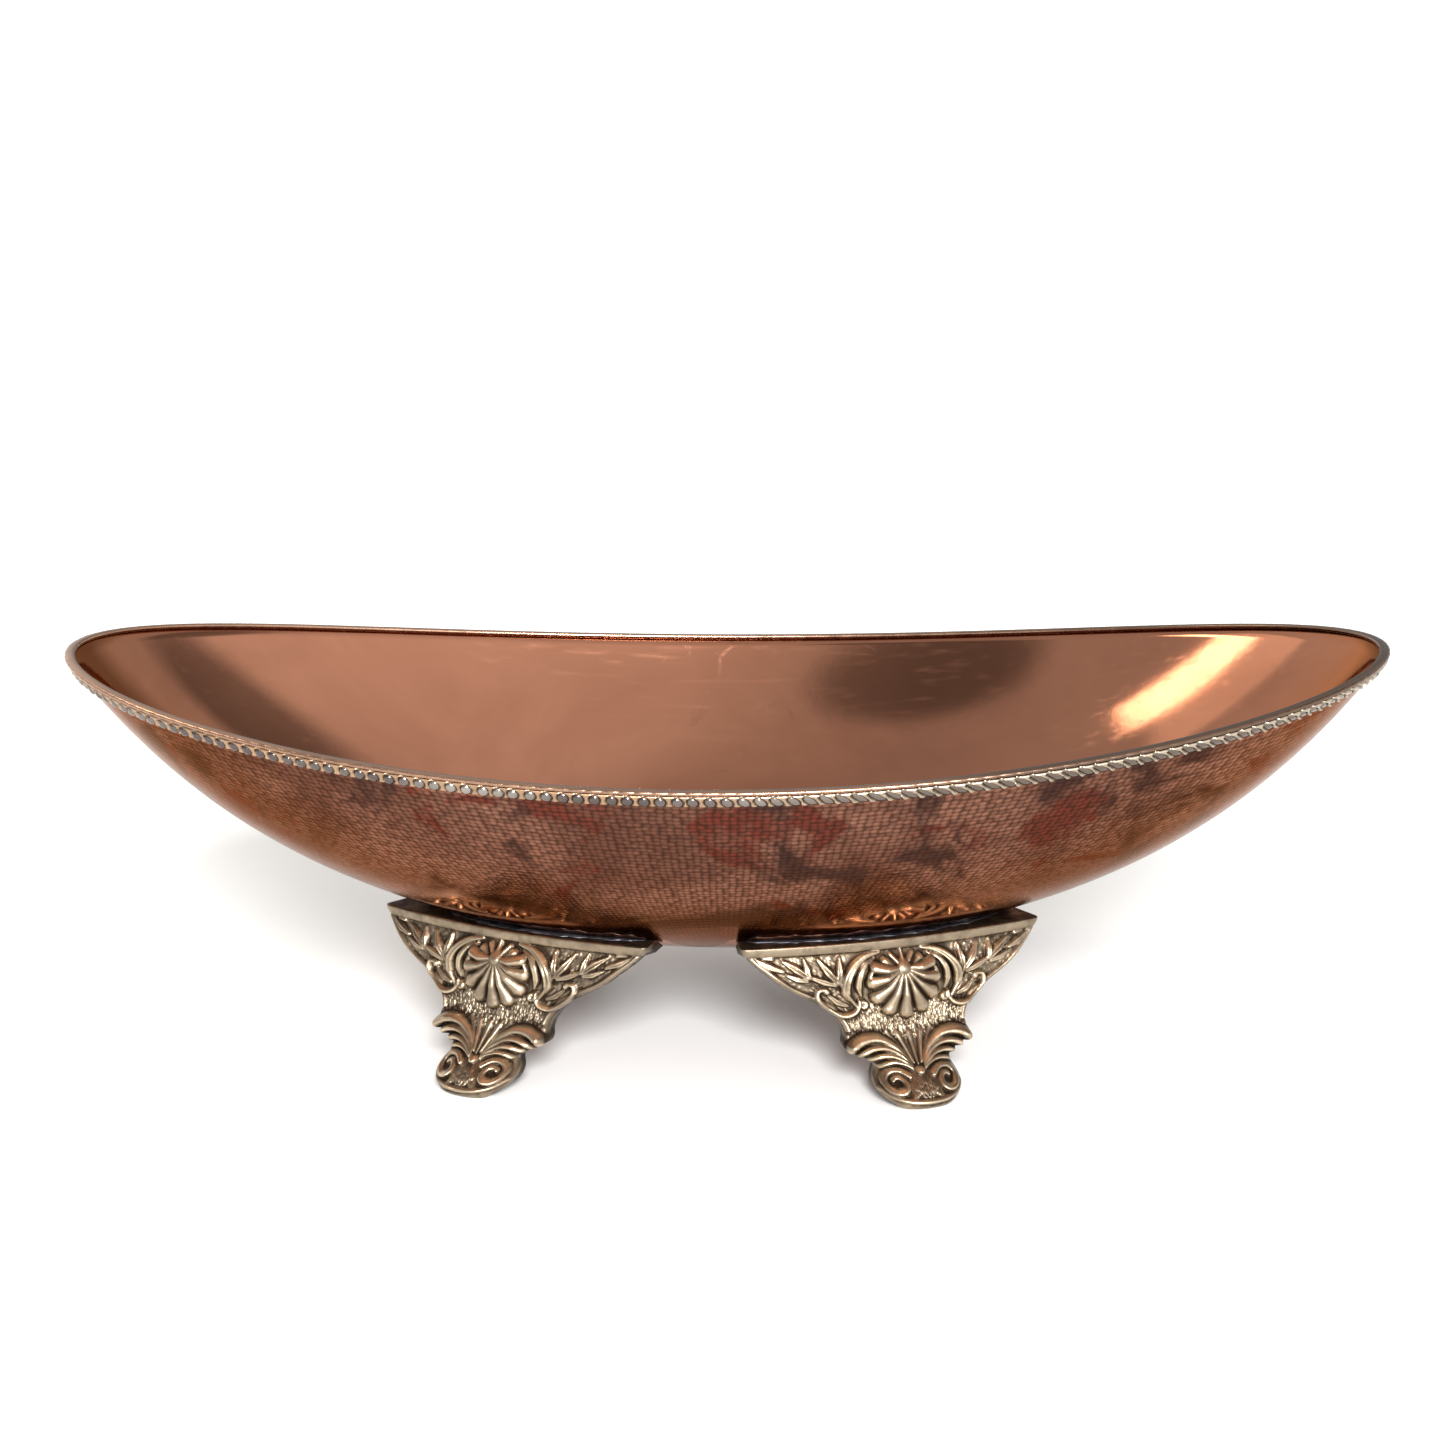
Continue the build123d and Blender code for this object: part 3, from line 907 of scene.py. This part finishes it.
def copper_outside():
    """The outside: darkened copper with dark and red-brown patches and a grid of dark cells, a painted
    reflection of a dark woven cloth, and a painted reflection of each foot; closely planished in rows by
    the bump.
    """
    s = Shader("outside_copper_painted_reflections")
    foot_reflection = s.attribute("foot_reflection")
    distance, chance = s.cells((1 / 2.0, 1 / 1.55, 1), 0.35)
    cloud = s.noise(26, 5, 0.6, warp=0.8)
    # painted reflection: the dark overall tone and the dark and red-brown patches stand for a dark
    # patterned cloth mirrored in the polished copper
    tone = s.mix(s.spread(cloud, 0.36, 0.62), (0.155, 0.066, 0.044), (0.31, 0.145, 0.096))
    tone = s.mix(s.spread(s.noise(38, 4, 0.6, warp=0.5), 0.56, 0.62), tone, (0.165, 0.040, 0.027))
    tone = s.mix(s.spread(s.noise(31, 4, 0.6, warp=0.7), 0.54, 0.61), tone, (0.060, 0.032, 0.027))
    plain = s.spread(foot_reflection, 0.0, 1.0, 1.0, 0.0)
    # painted reflection: darker cells and dark cell edges stand for the weave of the cloth mirrored in the
    # copper; left off where the foot's reflection is painted
    painted_weave_cells = s.math("MULTIPLY", s.spread(chance, 0.2, 1.0, 0.0, 0.55), plain)
    tone = s.mix(painted_weave_cells, tone, (0.085, 0.038, 0.028))
    painted_weave_edges = s.math("MULTIPLY", s.spread(distance, 0.26, 0.58, 0.0, 0.72), plain)
    tone = s.mix(painted_weave_edges, tone, (0.035, 0.016, 0.012))
    # painted reflection of each foot: bright copper on the wall just above it
    tone = s.mix(s.math("MULTIPLY", foot_reflection, 0.85), tone, (0.70, 0.37, 0.24))
    s.colour(tone)
    s.edge_tint((0.70, 0.52, 0.44))
    s.roughness(s.math("ADD", s.spread(cloud, 0.3, 0.7, 0.05, 0.10), s.math("MULTIPLY", plain, 0.10)))
    s.bump(s.math("MULTIPLY", distance, s.math("MULTIPLY", plain, -1.0)), 0.00006)
    return s.material


def border_brass():
    """The strip: tan bars, dark beads whose colour is a painted reflection of dark surroundings, and darker
    pockets round them.
    """
    s = Shader("worn_brass")
    relief = s.attribute("relief")
    bead = s.attribute("bead")
    cloud = s.noise(60, 5, 0.6)
    tone = s.mix(s.spread(cloud, 0.35, 0.7), (0.50, 0.325, 0.20), (0.37, 0.245, 0.155))
    # painted reflection: the beads are coloured dark to stand for the dark surroundings mirrored in them
    dark_bead_paint = s.mix(s.spread(s.noise(24, 2), 0.40, 0.62), (0.125, 0.105, 0.10), (0.36, 0.33, 0.30))
    right = s.spread(s.along_bowl(), -0.01, 0.06)
    dark_bead_paint = s.mix(right, dark_bead_paint, (0.17, 0.135, 0.110))
    tone = s.mix(right, tone, (0.50, 0.42, 0.32))
    tone = s.mix(bead, tone, dark_bead_paint)
    # darker where the relief is low: in the pockets round the beads and on the strip's base
    tone = s.mix(s.spread(relief, 0.10, 0.60, 1.0, 0.0), tone, (0.055, 0.034, 0.024))
    s.colour(tone)
    s.roughness(s.spread(bead, 0.0, 1.0, 0.32, 0.17))
    s.bump(s.noise(1500, 2), 0.00003)
    return s.material


def lip_copper():
    """The flat lip: coppery along the left and the back, dull and brown towards the right."""
    s = Shader("lip_copper")
    tone = s.mix(s.spread(s.noise(40, 5, 0.6), 0.35, 0.7), (0.50, 0.30, 0.205), (0.36, 0.22, 0.15))
    ragged = s.spread(s.noise(22, 3), 0.2, 0.8, -0.05, 0.05)
    right = s.spread(s.math("ADD", s.along_bowl(), ragged), 0.02, 0.10)
    tone = s.mix(s.math("MULTIPLY", right, 0.8), tone, (0.13, 0.085, 0.062))
    # darker on the lip's sides, underside and nicks than on its top
    tone = s.mix(s.spread(s.attribute("relief"), 0.0, 0.5, 0.7, 0.0), tone, (0.09, 0.052, 0.034))
    s.colour(tone)
    s.roughness(s.spread(s.noise(300, 3), 0.3, 0.7, 0.16, 0.34))
    s.bump(s.noise(1500, 2), 0.00003)
    return s.material


def foot_brass():
    """Antique cast brass: bright on its high parts, a painted highlight with wear, and dark brown in the
    recesses, patina with painted shade; its back and flange are painted dark as shade.
    """
    s = Shader("antique_brass")
    recess = s.attribute("recess")
    cloud = s.noise(75, 5, 0.6)
    tone = s.mix(s.spread(cloud, 0.35, 0.68), (0.37, 0.295, 0.205), (0.25, 0.20, 0.145))
    grime_and_shade = s.math("ADD", recess, s.spread(s.noise(260, 4, 0.65), 0.3, 0.7, -0.18, 0.18))
    # dark brown in the recesses and on the back and flange: patina with painted shade
    tone = s.mix(s.spread(grime_and_shade, -0.36, 0.14, 1.0, 0.0), tone, (0.045, 0.031, 0.021))
    # bright on the high parts: painted highlight with wear
    tone = s.mix(s.spread(recess, 0.18, 0.75), tone, (0.70, 0.57, 0.40))
    s.colour(tone)
    worn = s.spread(grime_and_shade, -0.5, 0.4, 0.46, 0.27)
    s.roughness(s.math("ADD", worn, s.spread(cloud, 0.3, 0.7, 0.0, 0.08)))
    s.bump(s.noise(1100, 3, 0.6), 0.00007)
    return s.material


def dull_solder():
    """Grey solder, darkened blue-black partly by its flux and partly as painted shade of the groove under
    each foot's ledge.
    """
    s = Shader("dark_solder", metallic=0.85)
    # partly painted shade: near-black with blue-grey patches, as in the shadowed groove under each foot's
    # ledge
    tone = s.mix(s.spread(s.noise(180, 5, 0.6), 0.4, 0.65), (0.045, 0.050, 0.065), (0.20, 0.22, 0.27))
    s.colour(tone)
    s.roughness(s.spread(s.noise(240, 3), 0.35, 0.65, 0.28, 0.5))
    s.bump(s.noise(600, 3), 0.00012)
    return s.material


# ------------------------------------------------------------------ the piece list

copper_out = copper_outside()
copper_in = copper_inside()
brass_border = border_brass()
copper_lip = lip_copper()
brass_foot = foot_brass()
solder = dull_solder()

pieces = [
    (make_bowl(copper_out, copper_in), "bowl_shell", "copper"),
    (make_lip(copper_lip), "rim_lip", "border_brass"),
    (make_border(brass_border), "rim_border", "border_brass"),
    (make_joint(solder), "rim_joint_solder", "solder"),
]
for index, (corner, place) in enumerate(FOOT_PLACES.items()):
    pieces.append((make_foot(f"cast_foot_{corner}", place, brass_foot), f"{corner}_foot", "foot_brass"))
    seam = make_seam(f"foot_seam_{corner}", place, solder, 40 + index)
    pieces.append((seam, f"{corner}_foot_solder", "solder"))
for piece, node, slot in pieces:
    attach(piece, "root")
    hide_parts(node)


# ------------------------------------------------------------------ floor, light and camera

def make_floor():
    """A large pale floor, a touch warm, with faint unevenness in its tone."""
    s = Shader("pale_floor", metallic=0.0)
    s.colour(s.mix(s.spread(s.noise(3, 3), 0.3, 0.7), (0.90, 0.90, 0.895), (0.87, 0.87, 0.865)))
    s.bsdf.inputs["Roughness"].default_value = 0.8
    reach = 40.0
    corners = [(-reach, -reach, 0), (reach, -reach, 0), (reach, reach, 0), (-reach, reach, 0)]
    floor = make_piece("floor", corners, [(0, 1, 2, 3)], s.material, smooth=False)


def direction(bearing, elevation):
    """A unit vector toward a bearing and an elevation in degrees."""
    turn, rise = math.radians(bearing), math.radians(elevation)
    return Vector((math.cos(rise) * math.cos(turn), math.cos(rise) * math.sin(turn), math.sin(rise)))


def area_light(name, place, aim, size, power, tint=(1, 1, 1)):
    """A soft rectangular lamp pointing at a place."""
    lamp = bpy.data.lights.new(name, "AREA")
    lamp.shape = "RECTANGLE"
    lamp.size, lamp.size_y = size
    lamp.energy = power
    lamp.color = tint
    holder = bpy.data.objects.new(name, lamp)
    holder.location = place
    holder.rotation_euler = (Vector(aim) - Vector(place)).to_track_quat("-Z", "Y").to_euler()
    bpy.context.scene.collection.objects.link(holder)


def make_world():
    """A pale studio, its walls uneven in brightness so that the metal has something to mirror."""
    world = bpy.data.worlds.new("studio")
    world.use_nodes = True
    nodes = world.node_tree.nodes
    links = world.node_tree.links
    background = nodes["Background"]
    split = nodes.new("ShaderNodeSeparateXYZ")
    outlook = nodes.new("ShaderNodeTexCoord").outputs["Generated"]
    links.new(outlook, split.inputs[0])

    def graded(socket, low, high, to_low, to_high):
        node = nodes.new("ShaderNodeMapRange")
        for name, value in zip(("From Min", "From Max", "To Min", "To Max"), (low, high, to_low, to_high)):
            node.inputs[name].default_value = value
        links.new(socket, node.inputs["Value"])
        return node.outputs[0]

    def product(first, second):
        node = nodes.new("ShaderNodeMath")
        node.operation = "MULTIPLY"
        links.new(first, node.inputs[0])
        links.new(second, node.inputs[1])
        return node.outputs[0]

    strength = graded(split.outputs["Z"], 0.0, 1.0, 0.80, 0.55)
    horizon = graded(split.outputs["Z"], 0.0, 0.10, 1.35, 1.0)
    strength = product(strength, horizon)
    for bearing, elevation, low, high, gain in STUDIO_PATCHES:
        facing = nodes.new("ShaderNodeVectorMath")
        facing.operation = "DOT_PRODUCT"
        facing.inputs[1].default_value = direction(bearing, elevation)
        links.new(outlook, facing.inputs[0])
        patch = graded(facing.outputs["Value"], low, high, 1.0, gain)
        strength = product(strength, patch)
    links.new(strength, background.inputs["Strength"])
    background.inputs["Color"].default_value = (1.0, 0.99, 0.975, 1)
    bpy.context.scene.world = world


def lamp_at(name, bearing, elevation, size, brightness, tint=(1, 1, 1)):
    """A soft box in a direction (degrees), aimed at the bowl; its power follows from its area."""
    place = LAMP_DISTANCE * direction(bearing, elevation)
    area_light(name, place, LAMP_AIM, size, brightness * math.pi * size[0] * size[1], tint)


def make_light():
    """Soft boxes for the glow at the bowl's right end and on the feet, and a broad low sun."""
    lamp_at("glow_box", 176, 48, (0.26, 0.52), 7.0, (1.0, 0.86, 0.68))
    lamp_at("glow_halo", 165, 44, (0.7, 0.6), 0.8, (1.0, 0.90, 0.78))
    lamp_at("low_right_box", -55, 22, (0.30, 0.20), 7.0)
    lamp_at("low_left_box", -122, 20, (0.30, 0.20), 5.0)
    sun = bpy.data.lights.new("broad_sun", "SUN")
    sun.energy = 5.6
    sun.angle = math.radians(18)
    holder = bpy.data.objects.new("broad_sun", sun)
    holder.rotation_euler = direction(-82, 27).to_track_quat("Z", "Y").to_euler()
    bpy.context.scene.collection.objects.link(holder)


def make_camera():
    """A long lens, a little above the edge and slightly to the right of the bowl's middle."""
    target = Vector((-0.5, 7.4, 82.8)) * MM
    distance = 853.1 * MM
    bearing = math.radians(-3.22)
    height_angle = math.radians(13.2)
    roll = math.radians(-0.62)
    forward = Vector((
        math.sin(bearing) * math.cos(height_angle),
        math.cos(bearing) * math.cos(height_angle),
        -math.sin(height_angle),
    ))
    level = Vector((math.cos(bearing), -math.sin(bearing), 0))
    upright = level.cross(forward)
    right = level * math.cos(roll) + upright * math.sin(roll)
    up = upright * math.cos(roll) - level * math.sin(roll)
    data = bpy.data.cameras.new("camera")
    data.sensor_width = 36.0
    data.lens = 80.7
    data.clip_start = 0.01
    camera = bpy.data.objects.new("camera", data)
    turn = Matrix((right, up, -forward)).transposed().to_4x4()
    camera.matrix_world = Matrix.Translation(target - forward * distance) @ turn
    bpy.context.scene.collection.objects.link(camera)
    bpy.context.scene.camera = camera


make_floor()
make_world()
make_light()
make_camera()
bpy.context.scene.view_settings.view_transform = "Standard"
